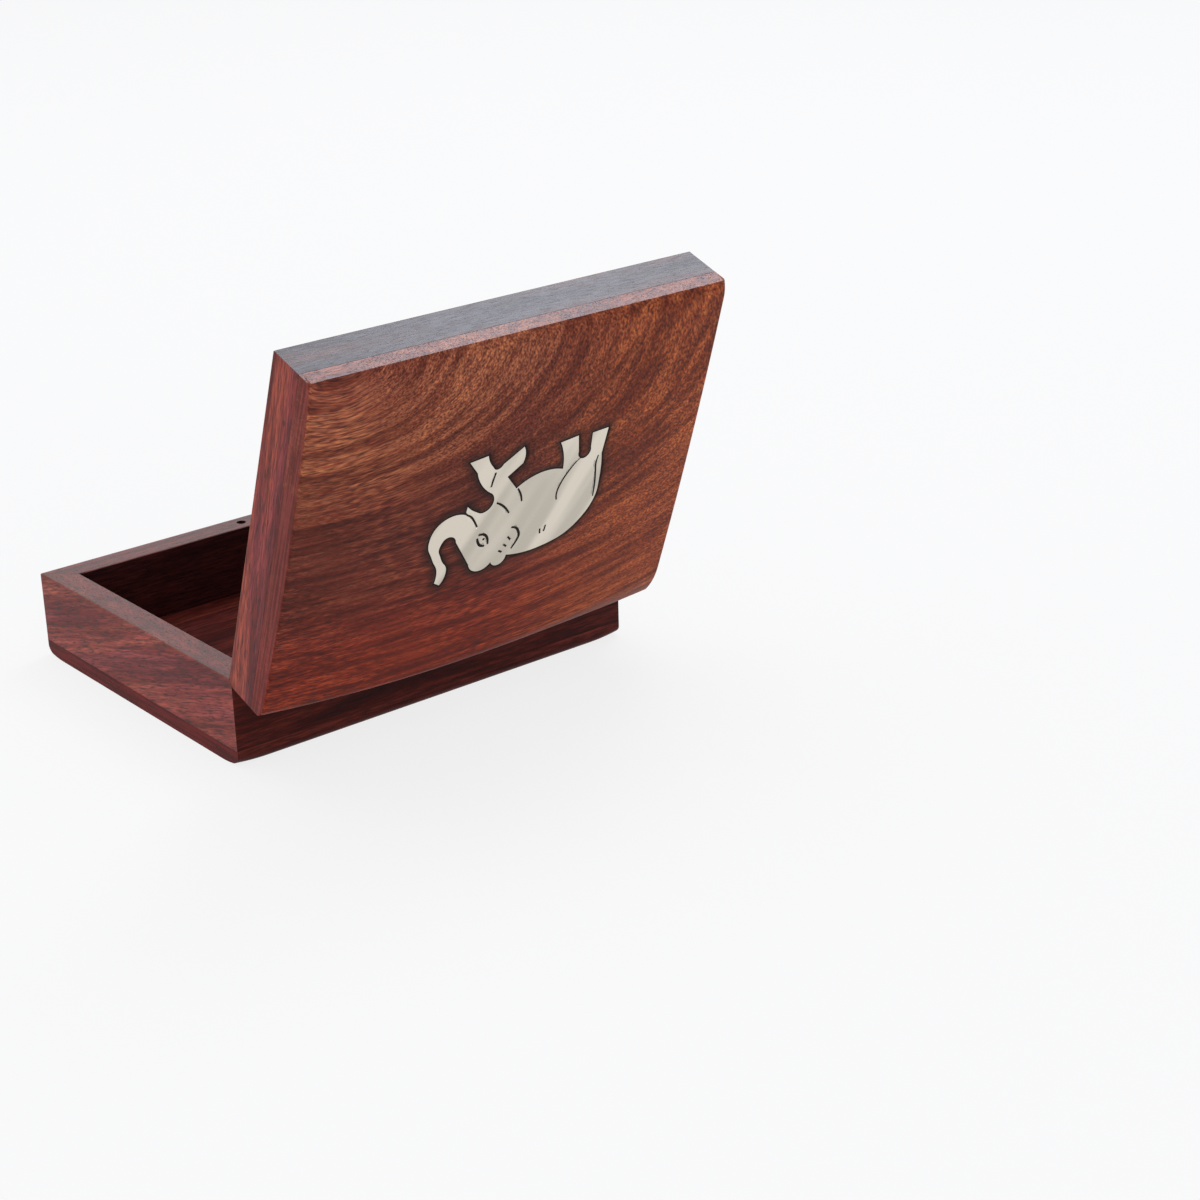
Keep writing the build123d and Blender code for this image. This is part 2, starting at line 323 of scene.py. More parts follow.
@dataclass(frozen=True)
class Sheesham:
    """Sheesham board, planed, sanded and rubbed with wax polish.

    Interlocked grain gives dark streaks over orange to purple brown, with open pores that show as short dark
    dashes and pale flecks between them. The wax leaves a soft sheen that whitens faces seen at a low angle.
    Handling rubs the arrises paler. The faces that look into the box are darkened with painted shade, and left
    dull.

    A size is a length along the fibres and a width across them. A span is the pair of noise values that give
    none and all of a layer. Real fibres and pores are a tenth to a fifth of a millimetre wide, too fine to
    show from where the box is seen, so they are drawn two to three times as wide.
    """

    name: str
    tones: tuple[tuple[float, str], ...]
    grain: Grain
    offset_mm: tuple[float, float, float] = (0.0, 0.0, 0.0)
    tilt: float = 0.0
    lid: HingeLine | None = None
    sweep: Sweep | None = None
    depth_mm: tuple[float, float] = (-45.0, 45.0)
    zone_mm: tuple[float, float] = (70.0, 7.0)
    band_mm: tuple[float, float] = (50.0, 4.0)
    band_span: tuple[float, float] = (0.56, 0.4)
    band_tint: str = "cdbcbe"
    streak_mm: tuple[float, float] = (24.0, 1.1)
    streak_span: tuple[float, float] = (0.62, 0.36)
    streak_tint: str = "ccc2ce"
    fibre_mm: tuple[float, float] = (4.5, 0.42)
    mottle_mm: tuple[float, float] = (0.95, 0.3)
    fibre_span: tuple[float, float] = (0.64, 0.36)
    fibre_tint: str = "c9b3b8"
    pore_mm: tuple[float, float] = (3.2, 0.34)
    dot_mm: tuple[float, float] = (0.75, 0.34)
    pore_span: tuple[float, float] = (0.57, 0.65)
    pore: str = "2a1411"
    pore_share: float = 0.6
    pore_depth_mm: float = 0.03
    pore_relief: float = 0.6
    fleck: str = "fff4e0"
    fleck_span: tuple[float, float] = (0.46, 0.34)
    fleck_share: float = 0.2
    dive: tuple[float, float] = (0.2, 0.6)
    # Painted sheen: a paler colour laid over one end of the board, from and to places along it in millimetres,
    # up to a share
    painted_sheen_end: tuple[float, float, float, str] = (0.0, 0.0, 0.0, "ffffff")
    end_facing: tuple[float, float] = (0.75, 0.95)
    end_grain: str = "6a3430"
    end_share: float = 0.6
    ring_mm: tuple[float, float] = (18.0, 0.6)
    ring_span: tuple[float, float] = (0.6, 0.4)
    ring_tint: str = "8e7678"
    # Painted shade: the colour that faces looking into the box are multiplied by
    inside: str = "a0948e"
    arris: str = "a8705a"
    arris_share: float = 0.2
    stain: str = "140b09"
    roughness: tuple[float, float] = (0.36, 0.52)
    dull: float = 0.75
    specular: float = 0.15
    polish_tint: str = "c8a8a6"
    polish_specular: float = 0.5
    polish_smooths: float = 0.12

    def pattern_turn(self) -> tuple[float, float, float]:
        """Turn that lays the fibres along X, with the board's tilt of grain."""
        if self.grain is Grain.ALONG_DEPTH:
            return (self.tilt, 0.0, self.grain.value)
        return (0.0, self.tilt, self.grain.value)

    def marked(self, tree: NodeTree, name: str) -> NodeSocket:
        """Read one of the marks that the board's mesh carries."""
        return add_node(tree, "ShaderNodeAttribute", attribute_name=name).outputs["Fac"]

    def heartwood(self, tree: NodeTree, place: NodeSocket) -> NodeSocket:
        """Broad bands of colour: across the growth lines where they sweep, and in loose zones elsewhere.

        Args:
            tree: tree of the material.
            place: place with the fibres along X.

        Returns:
            Colour of the bands.
        """
        zones = drawn_noise(tree, place, self.zone_mm, detail=2.0, swirl=0.3)
        tone = stretched(tree, zones, *NOISE_SPAN)
        if self.sweep:
            across = add_node(tree, "ShaderNodeSeparateXYZ", {0: place}).outputs["Y"]
            wandering = calc(tree, "MULTIPLY_ADD", zones, self.zone_mm[1], across)
            front, rear = (depth + self.zone_mm[1] / 2 for depth in self.depth_mm)
            feeds = {"Value": wandering, "From Min": front, "From Max": rear}
            tone = add_node(tree, "ShaderNodeMapRange", feeds).outputs[0]
        ramp = add_node(tree, "ShaderNodeValToRGB", {"Fac": tone})
        steps = ramp.color_ramp.elements
        steps.remove(steps[1])
        steps[0].position, steps[0].color = self.tones[0][0], linear(self.tones[0][1])
        for position, colour in self.tones[1:]:
            steps.new(position).color = linear(colour)
        return ramp.outputs["Color"]

    def dashes(
        self,
        tree: NodeTree,
        place: NodeSocket,
        turned: NodeSocket | None,
        long_mm: tuple[float, float],
        short_mm: tuple[float, float],
    ) -> NodeSocket:
        """Dashes along the fibres, shorter where the growth lines turn and the fibres dive into the board.

        Args:
            tree: tree of the material.
            place: place with the fibres along X.
            turned: how far the growth lines have turned, where they sweep.
            long_mm: length and width of a dash on level fibres.
            short_mm: length and width of a dash on diving fibres.

        Returns:
            Values around one half.
        """
        level = drawn_noise(tree, place, long_mm, detail=1.5)
        if turned is None:
            return level
        diving = drawn_noise(tree, place, short_mm, detail=1.5)
        feeds = {0: stretched(tree, turned, *self.dive), 2: level, 3: diving}
        return add_node(tree, "ShaderNodeMix", feeds).outputs[0]

    def end_cut(self, tree: NodeTree, board: NodeSocket) -> tuple[NodeSocket, NodeSocket]:
        """Faces that cut across the fibres, and the growth rings that show there.

        Args:
            tree: tree of the material.
            board: place on the board in millimetres.

        Returns:
            Share of the end grain's colour, and share of the rings' tint.
        """
        normal = add_node(tree, "ShaderNodeTexCoord").outputs["Normal"]
        lengthwise = "X" if self.grain is Grain.ALONG_LENGTH else "Y"
        side = add_node(tree, "ShaderNodeSeparateXYZ", {0: normal}).outputs[lengthwise]
        ends = stretched(tree, calc(tree, "ABSOLUTE", side), *self.end_facing, self.end_share)
        quarter_turn = {"Vector": board, "Rotation": (0, 0, math.pi / 2)}
        crosswise = add_node(tree, "ShaderNodeMapping", quarter_turn).outputs[0]
        rings = stretched(tree, drawn_noise(tree, crosswise, self.ring_mm, detail=3.0), *self.ring_span)
        return ends, calc(tree, "MULTIPLY", ends, rings)

    def material(self) -> Material:
        """Build the board's material.

        Returns:
            Material with bands, streaks, fibres, pores, the marks of making and use, painted shade inside the
            box and painted sheen at one end.
        """
        material, tree = new_material(self.name)
        board = box_place(tree, self.lid, self.pattern_turn(), Vector(self.offset_mm))
        place, turned = self.sweep.lay(tree, board) if self.sweep else (board, None)
        bands = drawn_noise(tree, place, self.band_mm, detail=2.0, swirl=0.5)
        streaks = drawn_noise(tree, place, self.streak_mm, detail=3.0, swirl=0.4)
        fibres = self.dashes(tree, place, turned, self.fibre_mm, self.mottle_mm)
        pits = self.dashes(tree, place, turned, self.pore_mm, self.dot_mm)
        pores = stretched(tree, pits, *self.pore_span, self.pore_share)
        flecks = stretched(tree, pits, *self.fleck_span, self.fleck_share)
        inside, polish = self.marked(tree, INSIDE), self.marked(tree, POLISH)
        worn = stretched(tree, self.marked(tree, ARRIS), 0.0, 1.0, self.arris_share)
        ends, ringed = self.end_cut(tree, board)
        length = add_node(tree, "ShaderNodeSeparateXYZ", {0: board}).outputs["X"]
        # The first layer is painted sheen, a paler colour over one end of the board
        sheen_from, sheen_to, sheen_share, pale = self.painted_sheen_end
        layers = (
            (stretched(tree, length, sheen_from, sheen_to, sheen_share), pale, "MIX"),
            (stretched(tree, bands, *self.band_span), self.band_tint, "MULTIPLY"),
            (stretched(tree, streaks, *self.streak_span), self.streak_tint, "MULTIPLY"),
            (stretched(tree, fibres, *self.fibre_span), self.fibre_tint, "MULTIPLY"),
            (flecks, self.fleck, "OVERLAY"),
            (pores, self.pore, "MIX"),
            (ends, self.end_grain, "MIX"),
            (ringed, self.ring_tint, "MULTIPLY"),
            (worn, self.arris, "MIX"),
            (polish, self.polish_tint, "MULTIPLY"),
            # Painted shade on the faces that look into the box
            (inside, self.inside, "MULTIPLY"),
            (self.marked(tree, STAIN), self.stain, "MIX"),
        )
        colour = self.heartwood(tree, place)
        for share, tint, blend in layers:
            colour = tinted(tree, share, colour, linear(tint), blend)
        waxed = ranged(tree, fibres, self.roughness)
        buffed = calc(tree, "MULTIPLY_ADD", polish, -self.polish_smooths, waxed)
        raw = calc(tree, "MULTIPLY", inside, self.dull)
        closed = calc(tree, "SUBTRACT", polish, pores)
        sheen = {"Value": closed, "To Min": self.specular, "To Max": self.polish_specular}
        uneven = calc(tree, "SUBTRACT", fibres, pores)
        feeds = {
            "Base Color": colour,
            "Roughness": calc(tree, "MAXIMUM", buffed, raw),
            "Specular IOR Level": add_node(tree, "ShaderNodeMapRange", sheen).outputs[0],
            "Normal": bumped(tree, uneven, self.pore_depth_mm, self.pore_relief),
        }
        finish_surface(tree, add_node(tree, "ShaderNodeBsdfPrincipled", feeds))
        return material


@dataclass(frozen=True)
class NickelSilver:
    """Nickel silver sheet, filed flush with the dome and rubbed bright by hand.

    A pale warm white mirror, softened by fine marks and clouded in bands along the way that it was rubbed.
    The marks are drawn wider than real ones, which are too fine to show.
    """

    lid: HingeLine
    name: str = "nickel_silver_hand_polished"
    bright: str = "dbd3c5"
    cloudy: str = "bfb8ab"
    rub_turn: float = -58.0
    cloud_mm: tuple[float, float] = (60.0, 9.0)
    cloud_span: tuple[float, float] = (0.4, 0.62)
    mark_mm: tuple[float, float] = (7.0, 0.3)
    wave_mm: tuple[float, float] = (14.0, 14.0)
    wave_depth_mm: float = 0.06
    roughness: tuple[float, float] = (0.1, 0.2)

    def material(self) -> Material:
        """Build the polished metal's material.

        Returns:
            Metal with clouded bands, polishing marks and the waves that a hand leaves.
        """
        material, tree = new_material(self.name)
        place = box_place(tree, self.lid, (0.0, 0.0, self.rub_turn), Vector())
        drifts = drawn_noise(tree, place, self.cloud_mm, detail=1.0, swirl=0.3)
        clouds = stretched(tree, drifts, *self.cloud_span)
        marks = drawn_noise(tree, place, self.mark_mm, detail=3.0)
        waves = drawn_noise(tree, place, self.wave_mm, detail=1.0)
        feeds = {
            "Base Color": tinted(tree, clouds, linear(self.bright), linear(self.cloudy)),
            "Metallic": 1.0,
            "Roughness": ranged(tree, marks, self.roughness),
            "Normal": bumped(tree, waves, self.wave_depth_mm),
        }
        finish_surface(tree, add_node(tree, "ShaderNodeBsdfPrincipled", feeds))
        return material


@dataclass(frozen=True)
class LacFiller:
    """Dark lac melted into the seam and the engraved lines, scraped level: nearly black, dull, grainy."""

    name: str = "dark_lac_scraped"
    deep: str = "0b0605"
    dusty: str = "241713"
    grit_mm: float = 0.4
    grit_depth_mm: float = 0.02
    grit_relief: float = 0.5
    roughness: float = 0.7
    specular: float = 0.15

    def material(self) -> Material:
        """Build the filler's material.

        Returns:
            Near-black material with a dusty grain.
        """
        material, tree = new_material(self.name)
        grit = even_noise(tree, self.grit_mm, detail=3.0)
        feeds = {
            "Base Color": tinted(tree, grit, linear(self.deep), linear(self.dusty)),
            "Roughness": self.roughness,
            "Specular IOR Level": self.specular,
            "Normal": bumped(tree, grit, self.grit_depth_mm, self.grit_relief),
        }
        finish_surface(tree, add_node(tree, "ShaderNodeBsdfPrincipled", feeds))
        return material


@dataclass(frozen=True)
class RolledBrass:
    """Brass of a small hinge as the shop sells it: rolled sheet, yellow, duller in patches from handling."""

    name: str = "brass_rolled"
    clean: str = "d9b266"
    dull: str = "a37c3d"
    patch_mm: float = 3.0
    roughness: tuple[float, float] = (0.22, 0.42)

    def material(self) -> Material:
        """Build the brass.

        Returns:
            Metal with duller patches.
        """
        material, tree = new_material(self.name)
        patches = even_noise(tree, self.patch_mm, detail=4.0)
        feeds = {
            "Base Color": tinted(tree, patches, linear(self.clean), linear(self.dull)),
            "Metallic": 1.0,
            "Roughness": ranged(tree, patches, self.roughness),
        }
        finish_surface(tree, add_node(tree, "ShaderNodeBsdfPrincipled", feeds))
        return material


def add_object(name: str, data: ID) -> Object:
    """Put an object into the scene.

    Args:
        name: its name.
        data: mesh, curve, lamp or camera that it shows.

    Returns:
        The new object.
    """
    thing = bpy.data.objects.new(name, data)
    bpy.context.scene.collection.objects.link(thing)
    return thing


def add_mesh(name: str, mesh: BMesh) -> Object:
    """Put a mesh into the scene.

    Args:
        name: name of the new object.
        mesh: its mesh; it stays.

    Returns:
        The new object.
    """
    data = bpy.data.meshes.new(name)
    mesh.to_mesh(data)
    return add_object(name, data)


def merged_copy(node: Object) -> BMesh:
    """Copy a solid's mesh, join its loose triangles and clear the lines across its flat faces.

    Args:
        node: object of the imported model.

    Returns:
        A connected mesh with whole flat faces.
    """
    mesh = bmesh.new()
    mesh.from_mesh(node.data)
    bmesh.ops.remove_doubles(mesh, verts=mesh.verts[:], dist=MERGE_DISTANCE)
    bmesh.ops.dissolve_limit(
        mesh,
        angle_limit=FLAT_ANGLE,
        use_dissolve_boundaries=False,
        verts=mesh.verts[:],
        edges=mesh.edges[:],
        delimit=set(),
    )
    mesh.normal_update()
    return mesh


def bevelled(mesh: BMesh, edges: list[BMEdge], width: float, segments: int) -> list[BMFace]:
    """Round edges.

    Args:
        mesh: mesh to work on.
        edges: edges to round.
        width: how far the round reaches from the edge.
        segments: flats that make up the round.

    Returns:
        The faces of the rounds.
    """
    rounded = bmesh.ops.bevel(
        mesh,
        geom=edges,
        offset=width,
        segments=segments,
        profile=0.5,
        affect="EDGES",
        material=-1,
        clamp_overlap=True,
    )
    return rounded["faces"]


def add_marks(mesh: BMesh) -> None:
    """Give a mesh the layers that the wood's finish reads, before any of its faces is picked.

    Args:
        mesh: mesh of a wooden piece.
    """
    for name in (INSIDE, ARRIS, POLISH):
        mesh.faces.layers.float.new(name)
    mesh.verts.layers.float.new(STAIN)


def mark_faces(mesh: BMesh, name: str, faces: list[BMFace]) -> None:
    """Set one of the finish's marks on some faces.

    Args:
        mesh: mesh that carries the mark.
        name: name of the mark.
        faces: faces that get it.
    """
    layer = mesh.faces.layers.float[name]
    for face in faces:
        face[layer] = 1.0


def mark_inside(mesh: BMesh, hinge: HingeLine) -> None:
    """Mark the faces of a closed board that look into the box, and the rims where tray and lid meet.

    Args:
        mesh: the board in the closed box.
        hinge: line that the lid turns about, which gives the height where tray and lid part.
    """
    middle = Vector((0, 0, hinge.z))
    well_inside = 5 * MM
    rim_reach = 1 * MM
    level = math.cos(math.radians(10))
    inner, rims = [], []
    for face in mesh.faces:
        centre = face.calc_center_median()
        if (middle - centre).dot(face.normal) > well_inside:
            inner.append(face)
        if abs(face.normal.z) > level and abs(centre.z - hinge.z) < rim_reach:
            rims.append(face)
    mark_faces(mesh, INSIDE, inner)
    mark_faces(mesh, POLISH, rims)


def islands(mesh: BMesh) -> list[list[BMVert]]:
    """Part a mesh into its separate solids.

    Args:
        mesh: mesh of one or more solids.

    Returns:
        Corners of each solid.
    """
    left = set(mesh.verts)
    found = []
    while left:
        front = [left.pop()]
        island = []
        while front:
            vert = front.pop()
            island.append(vert)
            for edge in vert.link_edges:
                other = edge.other_vert(vert)
                if other in left:
                    left.remove(other)
                    front.append(other)
        found.append(island)
    return found


def carve(base: BMesh, tool: BMesh, cut: Cut) -> BMesh:
    """Work one closed mesh with another.

    Args:
        base: mesh to be worked; it is used up.
        tool: mesh that works it, of closed solids that keep clear of each other; it stays.
        cut: what is kept.

    Returns:
        The worked mesh.
    """
    blanks = [add_mesh(name, mesh) for name, mesh in (("blank", base), ("tool", tool))]
    modifier = blanks[0].modifiers.new("cut", "BOOLEAN")
    modifier.operation = cut.value
    modifier.solver = "EXACT"
    modifier.object = blanks[1]
    worked = bmesh.new()
    worked.from_object(blanks[0], bpy.context.evaluated_depsgraph_get())
    for blank in blanks:
        data = blank.data
        bpy.data.objects.remove(blank)
        bpy.data.meshes.remove(data)
    base.free()
    if not worked.faces:
        raise ValueError(f"nothing is left after the cut {cut.name}")
    worked.normal_update()
    return worked


def prism(outline: BMesh, low: float, high: float) -> BMesh:
    """Stand a flat outline up between two heights.

    Args:
        outline: flat mesh; it stays.
        low: height of the foot.
        high: height of the top.

    Returns:
        Closed upright mesh.
    """
    block = outline.copy()
    bmesh.ops.translate(block, vec=(0, 0, low), verts=block.verts[:])
    grown = bmesh.ops.extrude_face_region(block, geom=block.faces[:])
    top = [part for part in grown["geom"] if isinstance(part, BMVert)]
    bmesh.ops.translate(block, vec=(0, 0, high - low), verts=top)
    bmesh.ops.recalc_face_normals(block, faces=block.faces[:])
    return block


def settle(
    mesh: BMesh, name: str, body: str, slot: Slot, material: Material, node: str | None, rounded: bool
) -> None:
    """Make a mesh a piece of the box.

    Args:
        mesh: mesh in its place in the frame; it is used up.
        name: name of the piece.
        body: body that carries it.
        slot: slot of the record that its finish belongs to; it is not used.
        material: its material.
        node: solid that the piece stands for, if there is one.
        rounded: whether all its faces are shaded round between the sharp edges.
    """
    piece = add_mesh(name, mesh)
    mesh.free()
    if rounded:
        piece.data.set_sharp_from_angle(angle=CREASE_ANGLE)
    piece.data.materials.append(material)
    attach(piece, body)
    if node:
        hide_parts(node)
    log.info("%s: %d faces, rides on %s", name, len(piece.data.polygons), body)


@dataclass(frozen=True)
class Board:
    """One board of the tray or of the lid's frame: which solid it is, where it is glued and how it looks.

    Arrises shorter than a few widths of the round stay sharp. A dubbed board has its four lower corners
    rubbed up, over a reach along its length and its depth.
    """

    node: str
    body: str
    slot: Slot
    finish: Sheesham
    eased: float = 0.35 * MM
    eased_segments: int = 3
    seam: float = 0.07 * MM
    arris_angle: float = math.radians(25)
    arris_widths: float = 3.0
    mitre_facing: float = 0.5
    level_facing: float = 0.99
    glue_reach: float = 0.05 * MM
    dubbed: float = 0.0
    dub_reach: tuple[float, float] = (9.0 * MM, 7.0 * MM)
    dub_steps: int = 5

    def glued(self, face: BMFace, glue_heights: tuple[float, ...]) -> bool:
        """Whether a face of the closed box is a mitre or lies against the board above or below.

        Args:
            face: face to test.
            glue_heights: heights of the level glue lines.

        Returns:
            True for a face that is glued.
        """
        normal = face.normal
        if min(abs(normal.x), abs(normal.y)) > self.mitre_facing:
            return True
        height = face.calc_center_median().z
        on_glue = any(abs(height - glue) < self.glue_reach for glue in glue_heights)
        return on_glue and abs(normal.z) > self.level_facing

    def dub(self, mesh: BMesh) -> None:
        """Rub the four lower corners round: cut the board across near them, then lift them by a smooth fall.

        Args:
            mesh: the board in the closed box.
        """
        corner = [max(vert.co[axis] for vert in mesh.verts) for axis in range(3)]
        for axis, reach in enumerate(self.dub_reach):
            across = Vector([float(axis == other) for other in range(3)])
            for step in range(1, self.dub_steps + 1):
                place = across * (corner[axis] - reach * step / self.dub_steps)
                for point in (place, -place):
                    parts = [*mesh.verts, *mesh.edges, *mesh.faces]
                    bmesh.ops.bisect_plane(mesh, geom=parts, plane_co=point, plane_no=across)
        for vert in mesh.verts:
            share = 1 - vert.co.z / corner[2]
            for axis, reach in enumerate(self.dub_reach):
                share *= max(0.0, 1 - (corner[axis] - abs(vert.co[axis])) / reach) ** 2
            vert.co.z += self.dubbed * share
        mesh.normal_update()

    def ease(self, mesh: BMesh, glue_heights: tuple[float, ...]) -> None:
        """Round the open arrises and leave a hair line along the glued ones.

        Args:
            mesh: the board in the closed box.
            glue_heights: heights of the level glue lines.
        """
        for at_seam, width, segments in ((False, self.eased, self.eased_segments), (True, self.seam, 1)):
            arrises = []
            for edge in mesh.edges:
                if len(edge.link_faces) != 2 or edge.calc_face_angle() < self.arris_angle:
                    continue
                glued = [self.glued(face, glue_heights) for face in edge.link_faces]
                long_enough = edge.calc_length() > self.arris_widths * width
                if any(glued) == at_seam and not all(glued) and long_enough:
                    arrises.append(edge)
            rounds = bevelled(mesh, arrises, width, segments)
            if not at_seam:
                mark_faces(mesh, ARRIS, rounds)
            mesh.normal_update()

    def build(self, frame: dict, hinge: HingeLine, glue_heights: tuple[float, ...]) -> None:
        """Copy the solid, ease it and finish it.

        Args:
            frame: the loaded frame.
            hinge: line that the lid turns about.
            glue_heights: heights of the level glue lines in the closed box.
        """
        mesh = merged_copy(frame["nodes"][self.node])
        on_lid = self.body == LID_BODY
        if on_lid:
            hinge.close(mesh)
        add_marks(mesh)
        if self.dubbed:
            self.dub(mesh)
        mark_inside(mesh, hinge)
        self.ease(mesh, glue_heights)
        if on_lid:
            hinge.open(mesh)
        wood = self.finish.material()
        settle(mesh, f"{self.node}_board", self.body, self.slot, wood, self.node, rounded=False)


@dataclass(frozen=True)
class Arc:
    """Arc of a cross section, by its centre and radius."""

    centre: Vector
    radius: float

    @classmethod
    def through(cls, first: Vector, middle: Vector, last: Vector) -> "Arc":
        """Arc through three points.

        Args:
            first: one end.
            middle: a point on the way.
            last: the other end.

        Returns:
            The arc.
        """
        a, b = middle - first, last - first
        turn = 2 * (a.x * b.y - a.y * b.x)
        x = (b.y * a.length_squared - a.y * b.length_squared) / turn
        y = (a.x * b.length_squared - b.x * a.length_squared) / turn
        centre = first + Vector((x, y))
        return cls(centre, (centre - first).length)

    @classmethod
    def leaving(cls, start: Vector, inward: Vector, end: Vector) -> "Arc":
        """Arc that leaves one point square to a direction and reaches another.

        Args:
            start: where it starts.
            inward: unit direction to its centre.
            end: where it ends.

        Returns:
            The arc.
        """
        chord = end - start
        radius = chord.length_squared / (2 * inward.dot(chord))
        return cls(start + inward * radius, radius)

    def height(self, y: float) -> float:
        """Height of the upper half of the arc's circle."""
        return self.centre.y + math.sqrt(max(self.radius**2 - (y - self.centre.x) ** 2, 0.0))

    def point(self, angle: float) -> Vector:
        """Point of the circle, by its angle from straight up towards the rear."""
        return self.centre + Vector((math.sin(angle), math.cos(angle))) * self.radius

    def angle(self, point: Vector) -> float:
        """Angle of a point, from straight up towards the rear."""
        return math.atan2(point.x - self.centre.x, point.y - self.centre.y)


@dataclass(frozen=True)
class Dome:
    """Pillow shape of the lid's panel in the closed box: sections across the depth that fall to the ends.

    A size with three values has them at the left end, in the middle and at the right end.
    """

    half_length: float
    front: float
    rear: float
    edge_height: float
    underside: float
    overrun: float = 0.95 * MM
    front_roll: float = 4.0 * MM
    shoulder: tuple[float, float, float] = (1.15 * MM, 1.5 * MM, 1.0 * MM)
    crown: tuple[float, float, float] = (2.4 * MM, 4.8 * MM, 1.9 * MM)
    crown_y: float = 6.0 * MM
    rear_fall: tuple[float, float, float] = (0.1 * MM, 0.4 * MM, 1.3 * MM)
    rear_roll: tuple[float, float, float] = (8.5 * MM, 2.5 * MM, 2.5 * MM)
    rear_drop: float = 2.0 * MM
    columns: int = 114
    rows: tuple[int, int, int] = (8, 84, 10)
    eased: float = 0.7 * MM
    eased_segments: int = 4
    seam: float = 0.07 * MM
    arris_angle: float = math.radians(40)
    front_facing: float = -0.9

    def section(self, x: float) -> tuple[Arc, Arc, Arc, Vector, Vector]:
        """Arcs of the cross section at one place along the length.

        Args:
            x: place along the length.

        Returns:
            Front roll, crown and rear roll, with the points where the crown starts and ends.
        """
        place = x / (self.half_length + self.overrun)
        shoulder, crown, fall, roll = (
            middle + (right - left) / 2 * place + ((left + right) / 2 - middle) * place**2
            for left, middle, right in (self.shoulder, self.crown, self.rear_fall, self.rear_roll)
        )
        start = Vector((self.front + self.front_roll, self.edge_height + shoulder))
        top = Vector((self.crown_y, self.edge_height + crown))
        back = Vector((self.rear - roll, top.y - fall))
        foot = Vector((self.rear, back.y - self.rear_drop))
        over = Arc.through(start, top, back)
        front = Arc.leaving(start, (over.centre - start).normalized(), Vector((self.front, self.edge_height)))
        rear = Arc.leaving(back, (over.centre - back).normalized(), foot)
        return front, over, rear, start, back

    def height(self, x: float, y: float) -> float:
        """Height of the crown above one place of the plan."""
        return self.section(x)[1].height(y)

    def row_point(self, x: float, row: int) -> Vector:
        """Point of one row of the surface, counted from the front.

        Args:
            x: place along the length.
            row: number of the row.

        Returns:
            Place across the depth and height.
        """
        front, over, rear, start, back = self.section(x)
        front_rows, crown_rows, rear_rows = self.rows
        if row < front_rows:
            y = self.front + self.front_roll * row / front_rows
            return Vector((y, front.height(y)))
        if row <= front_rows + crown_rows:
            y = start.x + (back.x - start.x) * (row - front_rows) / crown_rows
            return Vector((y, over.height(y)))
        first, last = rear.angle(back), rear.angle(Vector((self.rear, back.y - self.rear_drop)))
        return rear.point(first + (last - first) * (row - front_rows - crown_rows) / rear_rows)

    def solid(self) -> BMesh:
        """Model the panel without its pocket: a net over the dome, walls down to the glue line, a floor.

        Returns:
            Closed mesh in the closed box.
        """
        mesh = bmesh.new()
        rows = sum(self.rows)
        bmesh.ops.create_grid(mesh, x_segments=self.columns, y_segments=rows, size=1.0)
        for vert in mesh.verts:
            x = vert.co.x * self.half_length
            point = self.row_point(x, round((vert.co.y + 1) / 2 * rows))
            vert.co = (x, point.x, point.y)
        rim = [edge for edge in mesh.edges if edge.is_boundary]
        for part in bmesh.ops.extrude_edge_only(mesh, edges=rim)["geom"]:
            if isinstance(part, BMVert):
                part.co.z = self.underside
        bmesh.ops.holes_fill(mesh, edges=[edge for edge in mesh.edges if edge.is_boundary], sides=0)
        bmesh.ops.recalc_face_normals(mesh, faces=mesh.faces[:])
        mesh.normal_update()
        self.ease(mesh)
        return mesh

    def ease(self, mesh: BMesh) -> None:
        """Round the two end arrises of the dome, and leave a hair line along the glue line.

        Args:
            mesh: the panel without its pocket.
        """
        ends, foot = [], []
        for edge in mesh.edges:
            if edge.calc_face_angle(0.0) < self.arris_angle:
                continue
            one, other = (vert.co for vert in edge.verts)
            if max(one.z, other.z) < self.underside + NEAR:
                foot.append(edge)
            elif min(abs(one.x), abs(other.x)) > self.half_length - NEAR:
                if max(one.z, other.z) > self.edge_height - NEAR and abs(one.y - other.y) > NEAR:
                    ends.append(edge)
        bevelled(mesh, ends, self.eased, self.eased_segments)
        bevelled(mesh, [edge for edge in foot if edge.is_valid], self.seam, 1)
        mesh.normal_update()

    def lowered(self, drop: float) -> "Dome":
        """Bed under a sheet let into the dome: the middle section, straight along the length and lower."""
        ends_too = ("shoulder", "crown", "rear_fall", "rear_roll")
        level = {name: (getattr(self, name)[1],) * 3 for name in ends_too}
        return replace(self, edge_height=self.edge_height - drop, **level)

    def mark(self, mesh: BMesh, hinge: HingeLine, pocket: BMesh, stain: float, stain_reach: float) -> None:
        """Mark the finished panel: its underside, its polished front edge, the lac soaked in at the pocket.

        Args:
            mesh: the panel in the closed box.
            hinge: line that the lid turns about.
            pocket: block that the pocket was cut with.
            stain: how dark the lac leaves the wood beside the pocket, from 0 to 1.
            stain_reach: how far the lac soaked into the wood.
        """
        add_marks(mesh)
        mark_inside(mesh, hinge)
        mark_faces(mesh, POLISH, [face for face in mesh.faces if face.normal.y < self.front_facing])
        walls = BVHTree.FromBMesh(pocket)
        layer = mesh.verts.layers.float[STAIN]
        for vert in mesh.verts:
            distance = walls.find_nearest(vert.co)[3]
            vert[layer] = stain * max(0.0, 1.0 - distance / stain_reach) ** 2


